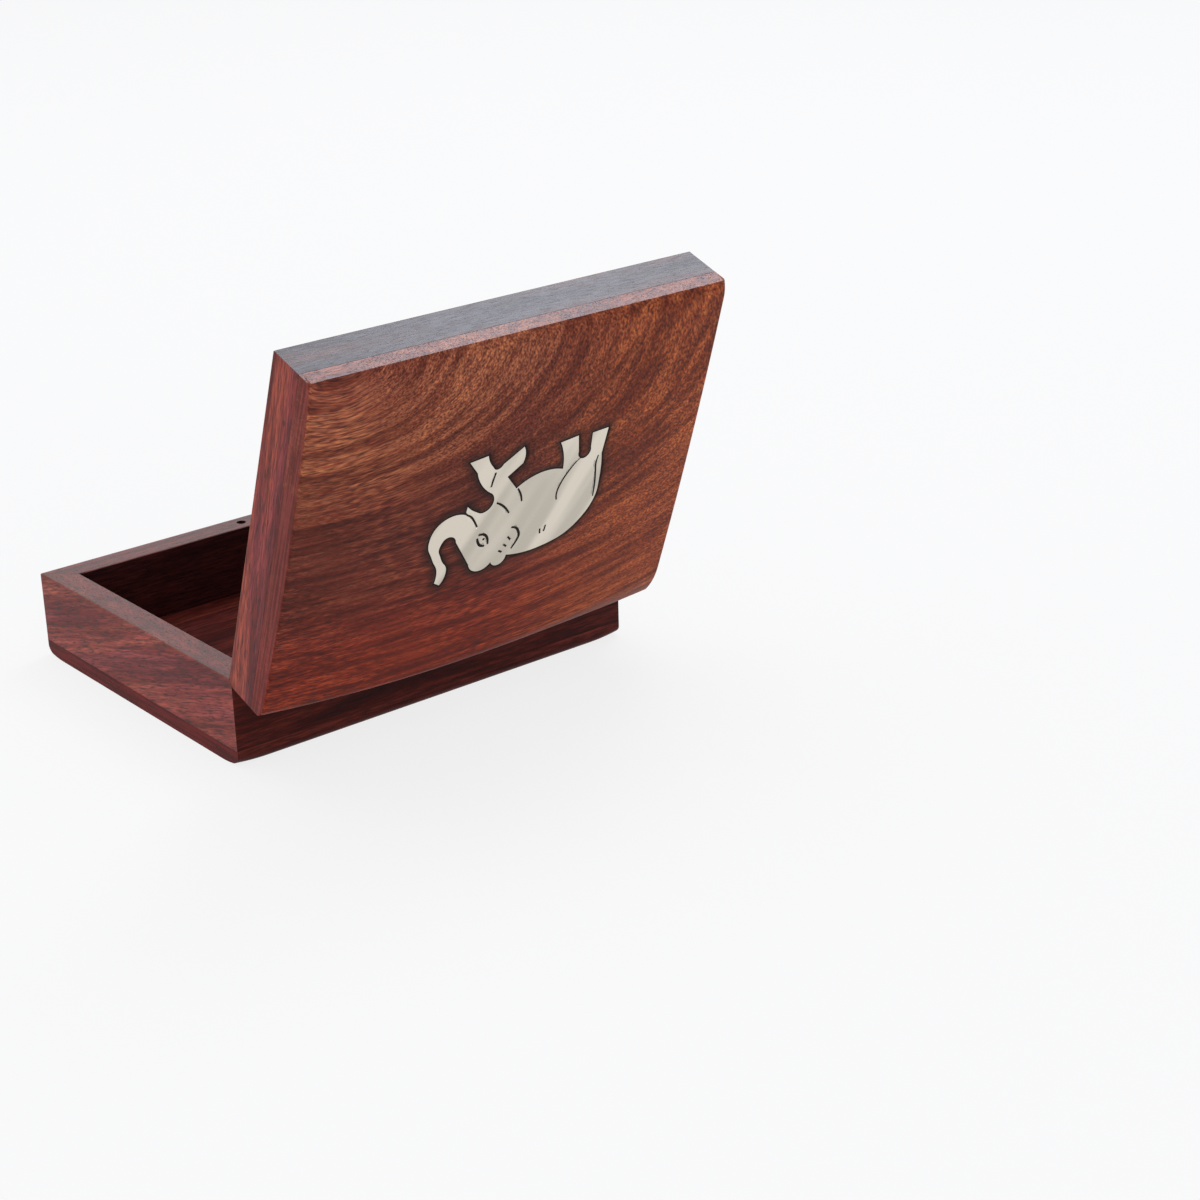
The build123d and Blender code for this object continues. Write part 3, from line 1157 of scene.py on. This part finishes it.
@dataclass(frozen=True)
class Inlay:
    """Elephant let into the dome: metal plate, dark filler round it, engraved lines filled with that lac.

    The plate's outline is the solid's own. The engraved strokes are in millimetres about the plate's centre,
    and they keep clear of each other. The first few are cut bolder.
    """

    dome: Dome
    hinge: HingeLine
    centre: tuple[float, float] = (-3.1 * MM, 0.5 * MM)
    plate: float = 1.0 * MM
    above: float = 46.0 * MM
    flat_facing: float = 0.5
    filler_width: float = 0.36 * MM
    filler_sunk: float = 0.02 * MM
    stain: float = 0.85
    stain_reach: float = 3.2 * MM
    line_radius: float = 0.26 * MM
    line_facets: int = 2
    swell: tuple[float, float] = (0.7, 1.1)
    bold: float = 1.25
    bold_strokes: int = 3
    eye_dot: tuple[float, float] = (8.5, 6.6)
    eye_dot_radius: float = 0.36 * MM
    strokes: tuple = (
        # Upper and lower lid of the eye
        ((10.2, 5.0), (8.6, 5.3), (7.5, 6.5), (7.0, 8.4)),
        ((10.4, 5.9), (10.0, 7.1), (9.2, 8.2), (7.9, 8.7)),
        # Ear, and the ticks along its upper edge
        ((-0.3, 11.9), (-1.4, 10.1), (-1.9, 8.6), (-1.5, 7.3), (-0.6, 6.1), (0.8, 5.5)),
        ((2.3, 12.1), (3.4, 11.4)),
        ((1.2, 10.8), (2.2, 10.0)),
        ((0.3, 9.2), (1.4, 8.0)),
        # Folds on the back
        ((-9.5, 9.8), (-9.7, 8.0)),
        ((-8.4, 10.1), (-8.1, 8.6)),
        # Chin, mouth, front leg and knee
        ((2.3, 1.1), (3.8, -0.8), (5.3, -2.1), (6.5, -2.8)),
        ((11.0, 2.6), (12.1, 0.7), (13.2, -0.8), (14.6, -1.8)),
        ((-0.9, -1.2), (-0.3, -3.1), (0.9, -5.2)),
        ((8.9, -7.7), (8.6, -9.5), (8.1, -11.4)),
        # Thigh and tail
        ((-11.5, 1.5), (-11.2, -0.2), (-11.8, -2.6), (-13.1, -4.9), (-15.1, -7.2), (-16.8, -8.5)),
        ((-23.1, 4.0), (-22.9, 0.5), (-22.4, -2.9), (-22.0, -5.6), (-22.3, -7.7)),
    )

    def on_dome(self, point: tuple[float, float]) -> Vector:
        """Place on the dome of a point about the plate's centre, in millimetres."""
        x, y = (middle + part * MM for middle, part in zip(self.centre, point))
        return Vector((x, y, self.dome.height(x, y)))

    def outline(self, node: Object) -> BMesh:
        """Plan of the plate, as one flat face at height zero.

        Args:
            node: the plate's solid.

        Returns:
            Mesh of one face.
        """
        flat = bmesh.new()
        flat.from_mesh(node.data)
        self.hinge.close(flat)
        bmesh.ops.remove_doubles(flat, verts=flat.verts[:], dist=MERGE_DISTANCE)
        flat.normal_update()
        lower = [face for face in flat.faces if face.normal.z < self.flat_facing]
        bmesh.ops.delete(flat, geom=lower, context="FACES")
        bmesh.ops.scale(flat, vec=(1, 1, 0), verts=flat.verts[:])
        bmesh.ops.dissolve_faces(flat, faces=flat.faces[:])
        flat.normal_update()
        return flat

    def collar(self, outline: BMesh) -> BMesh:
        """Upright block of the plate's plan, grown all round by the width of the filler.

        Args:
            outline: plan of the plate; it stays.

        Returns:
            Closed mesh of the block.
        """
        block = prism(outline, self.dome.edge_height, self.above)
        caps = [face for face in block.faces if abs(face.normal.z) > self.flat_facing]
        bmesh.ops.delete(block, geom=caps, context="FACES_ONLY")
        block.normal_update()
        steps = [vert.normal * (self.filler_width * vert.calc_shell_factor()) for vert in block.verts]
        runs = [edge.verts[1].co - edge.verts[0].co for edge in block.edges]
        for vert, step in zip(block.verts, steps):
            vert.co += step
        turned = [
            edge for edge, run in zip(block.edges, runs) if run.dot(edge.verts[1].co - edge.verts[0].co) <= 0
        ]
        bmesh.ops.collapse(block, edges=turned)
        bmesh.ops.holes_fill(block, edges=[edge for edge in block.edges if edge.is_boundary], sides=0)
        bmesh.ops.recalc_face_normals(block, faces=block.faces[:])
        return block

    def stroke(self, points: tuple, weight: float) -> BMesh:
        """One engraved line as a thin round bar half sunk in the dome, swelling towards its middle.

        Args:
            points: places about the plate's centre, in millimetres.
            weight: how much wider than usual the line is cut.

        Returns:
            Closed mesh of the bar.
        """
        curve = bpy.data.curves.new("stroke", "CURVE")
        curve.dimensions = "3D"
        curve.bevel_depth = self.line_radius * weight
        curve.bevel_resolution = self.line_facets
        curve.use_fill_caps = True
        line = curve.splines.new("BEZIER")
        line.bezier_points.add(len(points) - 1)
        thin, thick = self.swell
        for place, (knot, point) in enumerate(zip(line.bezier_points, points)):
            knot.co = self.on_dome(point)
            knot.handle_left_type = knot.handle_right_type = "AUTO"
            knot.radius = thin + (thick - thin) * math.sin(math.pi * (place + 0.5) / len(points))
        holder = add_object("stroke", curve)
        data = bpy.data.meshes.new_from_object(holder.evaluated_get(bpy.context.evaluated_depsgraph_get()))
        bar = bmesh.new()
        bar.from_mesh(data)
        bpy.data.meshes.remove(data)
        bpy.data.objects.remove(holder)
        bpy.data.curves.remove(curve)
        bmesh.ops.remove_doubles(bar, verts=bar.verts[:], dist=MERGE_DISTANCE)
        bmesh.ops.recalc_face_normals(bar, faces=bar.faces[:])
        return bar

    def strokes_mesh(self) -> BMesh:
        """All engraved lines and the eye's dot, as bars half sunk in the dome.

        Returns:
            Mesh of separate closed bars.
        """
        weights = [self.bold if place < self.bold_strokes else 1.0 for place in range(len(self.strokes))]
        bars = [self.stroke(points, weight) for points, weight in zip(self.strokes, weights)]
        dot = bmesh.new()
        place = Matrix.Translation(self.on_dome(self.eye_dot))
        bmesh.ops.create_icosphere(dot, subdivisions=2, radius=self.eye_dot_radius, matrix=place)
        together = bmesh.new()
        for bar in (*bars, dot):
            data = bpy.data.meshes.new("bar")
            bar.to_mesh(data)
            bar.free()
            together.from_mesh(data)
            bpy.data.meshes.remove(data)
        return together

    def build(self, frame: dict, wood: Material, metal: Material, lac: Material) -> None:
        """Model the panel with its pocket, the filler, the plate and the engraved lines, and lay them open.

        Args:
            frame: the loaded frame.
            wood: material of the panel.
            metal: material of the plate.
            lac: material of the filler.
        """
        outline = self.outline(frame["nodes"]["elephant_inlay"])
        bed = self.dome.lowered(self.plate).solid()
        core = prism(outline, self.dome.edge_height, self.above)
        pocket = carve(self.collar(outline), bed, Cut.TAKE_AWAY)
        panel = carve(self.dome.solid(), pocket, Cut.TAKE_AWAY)
        self.dome.mark(panel, self.hinge, pocket, self.stain, self.stain_reach)
        filler = carve(carve(self.dome.solid(), pocket, Cut.KEEP_SHARED), core, Cut.TAKE_AWAY)
        strokes = self.strokes_mesh()
        sheet = carve(carve(self.dome.solid(), core, Cut.KEEP_SHARED), bed, Cut.TAKE_AWAY)
        engraved = carve(sheet, strokes, Cut.TAKE_AWAY)
        lines = carve(strokes, self.dome.solid(), Cut.KEEP_SHARED)
        for mesh in (filler, lines):
            bmesh.ops.translate(mesh, vec=(0, 0, -self.filler_sunk), verts=mesh.verts[:])
        made = (
            ("lid_panel_domed", panel, Slot.LID_WOOD, wood, "lid_panel"),
            ("elephant_plate", engraved, Slot.WHITE_METAL, metal, "elephant_inlay"),
            ("elephant_filler", filler, Slot.DARK_FILLER, lac, None),
            ("elephant_lines", lines, Slot.DARK_FILLER, lac, None),
        )
        for name, mesh, slot, material, node in made:
            self.hinge.open(mesh)
            settle(mesh, name, LID_BODY, slot, material, node, rounded=True)


@dataclass(frozen=True)
class Hinges:
    """Two brass butt hinges with their slotted screws, and the closing pin."""

    hinge: HingeLine
    slot_width: float = 0.36 * MM
    slot_depth: float = 0.3 * MM
    slot_length: float = 6.0 * MM
    slot_turns: tuple[float, ...] = (20.0, 75.0, 130.0, 50.0)

    def slotted(self, screws: BMesh, on_lid: bool) -> BMesh:
        """Cut a slot across the head of each screw.

        Args:
            screws: a group of screws; it is used up.
            on_lid: whether they sit in the lid, with their heads down when it is closed.

        Returns:
            The slotted screws.
        """
        if on_lid:
            self.hinge.close(screws)
        size = Matrix.Diagonal((self.slot_length, self.slot_width, 2 * self.slot_depth, 1))
        blades = bmesh.new()
        in_a_row = sorted(islands(screws), key=lambda screw: screw[0].co.x)
        for screw, degrees in zip(in_a_row, self.slot_turns):
            heights = [vert.co.z for vert in screw]
            head = min(heights) if on_lid else max(heights)
            x, y = ((min(part) + max(part)) / 2 for part in zip(*(vert.co.xy for vert in screw)))
            place = Matrix.Translation((x, y, head)) @ Matrix.Rotation(math.radians(degrees), 4, "Z")
            bmesh.ops.create_cube(blades, size=1.0, matrix=place @ size)
        screws = carve(screws, blades, Cut.TAKE_AWAY)
        blades.free()
        if on_lid:
            self.hinge.open(screws)
        return screws

    def build(self, frame: dict, brass: Material) -> None:
        """Finish every brass piece.

        Args:
            frame: the loaded frame.
            brass: material of the hinges and of the closing pin.
        """
        bodies = {}
        for hand in ("left", "right"):
            bodies[f"hinge_tray_leaf_{hand}"] = TRAY_BODY
            bodies[f"hinge_pin_{hand}"] = TRAY_BODY
            bodies[f"hinge_lid_leaf_{hand}"] = LID_BODY
        screw_bodies = {"hinge_tray_screws": TRAY_BODY, "hinge_lid_screws": LID_BODY}
        for node, body in {**bodies, **screw_bodies, "closing_pin": LID_BODY}.items():
            mesh = merged_copy(frame["nodes"][node])
            if node in screw_bodies:
                mesh = self.slotted(mesh, body == LID_BODY)
            settle(mesh, f"{node}_brass", body, Slot.BRASS, brass, node, rounded=True)


@dataclass(frozen=True)
class Tray:
    """Mitred tray: four walls and the bottom board, whose lower corners are rubbed round."""

    bottom: str = "tray_bottom"
    bottom_dubbed: float = 1.0 * MM

    def boards(self) -> list[Board]:
        """Choose the finishes of the tray's boards.

        Returns:
            The boards.
        """
        plum = ((0.2, "ac5350"), (0.5, "b6574d"), (0.85, "be6450"))
        # The rear wall's darker tones are painted shade from the lid that leans over it
        dark = ((0.2, "4e1e1a"), (0.5, "55211b"), (0.85, "60261d"))
        brown = ((0.2, "5e2822"), (0.5, "672d26"), (0.85, "723428"))
        along, across = Grain.ALONG_LENGTH, Grain.ALONG_DEPTH
        matt = {"specular": 0.08}
        # The inside colours are painted shade: darkest on the front wall's inner face, hardly any on the bottom
        base = {"end_grain": "801e1b", "end_share": 0.7, "inside": "fff0ea"}
        finishes = {
            "tray_front_wall": Sheesham("sheesham_tray_front", plum, along, (13, 41, 7), inside="706469"),
            "tray_rear_wall": Sheesham("sheesham_tray_rear", dark, along, (71, 15, 33), **matt),
            "tray_left_wall": Sheesham("sheesham_tray_left_end", plum, across, (29, 83, 51), tilt=9),
            "tray_right_wall": Sheesham("sheesham_tray_right_end", plum, across, (57, 22, 94), tilt=-17),
            "tray_bottom": Sheesham("sheesham_tray_bottom", brown, along, (5, 67, 19), **matt, **base),
        }
        dubbed = {self.bottom: self.bottom_dubbed}
        return [
            Board(node, TRAY_BODY, Slot.TRAY_WOOD, finish, dubbed=dubbed.get(node, 0.0))
            for node, finish in finishes.items()
        ]

    def build(self, frame: dict, hinge: HingeLine) -> None:
        """Finish the tray's boards.

        Args:
            frame: the loaded frame.
            hinge: line that the lid turns about.
        """
        glue_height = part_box(self.bottom)[1].z
        for board in self.boards():
            board.build(frame, hinge, (glue_height,))


@dataclass(frozen=True)
class Lid:
    """Mitred frame of the lid under its domed panel."""

    hinge: HingeLine

    def boards(self) -> list[Board]:
        """Choose the finishes of the lid's rails.

        Returns:
            The rails.
        """
        red = ((0.2, "ac504e"), (0.5, "b05147"), (0.85, "b85946"))
        # The front rail's tones are partly its darker wood and partly painted sheen, greyed as a reflection of
        # the sky would grey them
        darker_and_sheen_grey = ((0.2, "423236"), (0.5, "594038"), (0.85, "7a4c40"))
        on_lid = {"lid": self.hinge}
        along, across = Grain.ALONG_LENGTH, Grain.ALONG_DEPTH
        gloss = {"roughness": (0.22, 0.32), "specular": 0.55}
        left, right = {"tilt": 3, **on_lid}, {"tilt": -3, **on_lid}
        finishes = {
            "lid_front_rail": Sheesham("sheesham_lid_front", darker_and_sheen_grey, along, (90, 12, 44), **gloss, **on_lid),
            "lid_rear_rail": Sheesham("sheesham_lid_rear", red, along, (21, 77, 9), **on_lid),
            "lid_left_rail": Sheesham("sheesham_lid_left_end", red, across, (48, 3, 62), **left),
            "lid_right_rail": Sheesham("sheesham_lid_right_end", red, across, (66, 36, 28), **right),
        }
        return [Board(node, LID_BODY, Slot.LID_WOOD, finish) for node, finish in finishes.items()]

    def panel_finish(self) -> Sheesham:
        """Choose the finish of the domed panel: orange at the front, brown in the middle, red to the rear.

        Returns:
            The finish.
        """
        tones = (
            (0.0, "ae664a"),
            (0.2, "b8714c"),
            (0.29, "b06b48"),
            (0.38, "935038"),
            (0.46, "874833"),
            (0.55, "854533"),
            (0.64, "8c4833"),
            (0.76, "964430"),
            (0.9, "a6462b"),
        )
        return Sheesham(
            "sheesham_lid_panel",
            tones,
            Grain.ALONG_LENGTH,
            lid=self.hinge,
            sweep=Sweep(),
            band_mm=(45.0, 2.8),
            fibre_mm=(3.6, 0.34),
            fibre_tint="be9ca5",
            fleck="fffbe4",
            fleck_share=0.5,
            # Painted sheen: the dome turns paler and more orange towards its end at minus X
            painted_sheen_end=(4.0, -44.0, 0.7, "c06a39"),
            end_grain="9c4641",
            roughness=(0.42, 0.56),
            specular=0.13,
            polish_tint="ffffff",
            polish_smooths=0.22,
        )

    def dome(self, panel: Object) -> Dome:
        """Read the panel's plan and edge from its solid, as if the lid were closed.

        Args:
            panel: the panel's solid.

        Returns:
            The dome to model.
        """
        corners = [self.hinge.closing() @ vert.co for vert in panel.data.vertices]
        front = min(corner.y for corner in corners)
        return Dome(
            half_length=max(corner.x for corner in corners),
            front=front,
            rear=max(corner.y for corner in corners),
            edge_height=max(corner.z for corner in corners if corner.y < front + NEAR),
            underside=min(corner.z for corner in corners),
        )

    def build(self, frame: dict) -> None:
        """Finish the rails, the panel and its inlay.

        Args:
            frame: the loaded frame.
        """
        dome = self.dome(frame["nodes"]["lid_panel"])
        for board in self.boards():
            board.build(frame, self.hinge, (dome.underside,))
        wood, metal, lac = self.panel_finish(), NickelSilver(self.hinge), LacFiller()
        Inlay(dome, self.hinge).build(frame, wood.material(), metal.material(), lac.material())


@dataclass(frozen=True)
class Lamp:
    """Soft studio lamp: where it hangs, how large it is and how strong."""

    name: str
    place: tuple[float, float, float]
    size: float
    watts: float
    colour: str = "ffffff"

    def build(self, aim: Vector) -> None:
        """Hang the lamp.

        Args:
            aim: point that it shines at.
        """
        data = bpy.data.lights.new(self.name, "AREA")
        data.shape = "DISK"
        data.size = self.size
        data.energy = self.watts
        data.color = linear(self.colour)[:3]
        lamp = add_object(self.name, data)
        lamp.location = self.place
        lamp.rotation_euler = (aim - lamp.location).to_track_quat("-Z", "Y").to_euler()


@dataclass(frozen=True)
class Studio:
    """Pale floor, soft light from above and the camera."""

    floor_half: float = 6.0
    floor_colour: str = "f4f4f4"
    floor_white: float = 0.8
    sky_colour: str = "eef1f6"
    sky_strength: float = 0.6
    eye: tuple[float, float, float] = (0.3205, 0.5021, 0.2525)
    gaze: tuple[float, float, float] = (-0.5837, -0.7182, -0.3788)
    roll_degrees: float = -1.51
    lens_mm: float = 75.6
    sensor_mm: float = 36.0
    nearest: float = 0.01
    aim: tuple[float, float, float] = (0.0, 0.02, 0.04)
    lamps: tuple[Lamp, ...] = (
        Lamp("window_softbox", (-0.78, -0.33, 1.12), 0.6, 4.0, "dfe6f7"),
        Lamp("ceiling_softbox", (0.0, -0.4, 1.5), 1.4, 5.0),
        Lamp("front_softbox", (0.5, 1.6, 0.25), 1.2, 8.0),
    )

    def white_to_camera(self, tree: NodeTree) -> NodeSocket:
        """Factor that is 1 for rays from the camera, from mirrors and through glass.

        Args:
            tree: tree that gets the nodes.

        Returns:
            The factor.
        """
        path = add_node(tree, "ShaderNodeLightPath").outputs
        seen = path["Is Camera Ray"]
        for kind in ("Is Glossy Ray", "Is Transmission Ray"):
            seen = calc(tree, "MAXIMUM", seen, path[kind])
        return seen

    def floor(self) -> None:
        """Lay the pale floor, which shows nearly white and keeps a light shadow."""
        material, tree = new_material("pale_paper_floor")
        paper = add_node(tree, "ShaderNodeBsdfDiffuse", {"Color": linear(self.floor_colour)})
        white = add_node(tree, "ShaderNodeEmission", {"Color": WHITE, "Strength": 1.0})
        share = calc(tree, "MULTIPLY", self.white_to_camera(tree), self.floor_white)
        feeds = {0: share, 1: paper.outputs[0], 2: white.outputs[0]}
        finish_surface(tree, add_node(tree, "ShaderNodeMixShader", feeds))
        mesh = bmesh.new()
        bmesh.ops.create_grid(mesh, x_segments=1, y_segments=1, size=self.floor_half)
        floor = add_mesh("floor", mesh)
        mesh.free()
        floor.data.materials.append(material)

    def sky(self) -> None:
        """Light the room evenly, and show white beyond the floor."""
        world = bpy.data.worlds.new("studio")
        world.use_nodes = True
        tree = world.node_tree
        tree.nodes.clear()
        feeds = {"Color": linear(self.sky_colour), "Strength": self.sky_strength}
        room = add_node(tree, "ShaderNodeBackground", feeds)
        white = add_node(tree, "ShaderNodeBackground", {"Color": WHITE, "Strength": 1.0})
        feeds = {0: self.white_to_camera(tree), 1: room.outputs[0], 2: white.outputs[0]}
        mixed = add_node(tree, "ShaderNodeMixShader", feeds)
        add_node(tree, "ShaderNodeOutputWorld", {"Surface": mixed.outputs[0]})
        bpy.context.scene.world = world

    def camera(self) -> None:
        """Stand the camera where the photograph was taken from."""
        data = bpy.data.cameras.new("camera")
        data.lens = self.lens_mm
        data.sensor_width = self.sensor_mm
        data.clip_start = self.nearest
        camera = add_object("camera", data)
        turn = Vector(self.gaze).to_track_quat("-Z", "Y").to_matrix().to_4x4()
        roll = Matrix.Rotation(math.radians(self.roll_degrees), 4, "Z")
        camera.matrix_world = Matrix.Translation(self.eye) @ turn @ roll
        bpy.context.scene.camera = camera

    def build(self) -> None:
        """Set up the floor, the light and the camera."""
        bpy.context.scene.view_settings.view_transform = "Standard"
        self.floor()
        self.sky()
        for lamp in self.lamps:
            lamp.build(Vector(self.aim))
        self.camera()


def clear_scene() -> None:
    """Remove what a new Blender file holds."""
    for thing in list(bpy.data.objects):
        bpy.data.objects.remove(thing)


def main() -> None:
    """Load the frame, dress the box and set up the studio."""
    logging.basicConfig(level=logging.INFO, format="%(name)s: %(message)s")
    clear_scene()
    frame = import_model()
    joint = frame["joints"][0]
    _, y, z = joint["pos_m"]
    hinge = HingeLine(y, z, math.radians(joint["range_deg"][1]))
    Tray().build(frame, hinge)
    Lid(hinge).build(frame)
    Hinges(hinge).build(frame, RolledBrass().material())
    Studio().build()


if __name__ == "__main__":
    main()
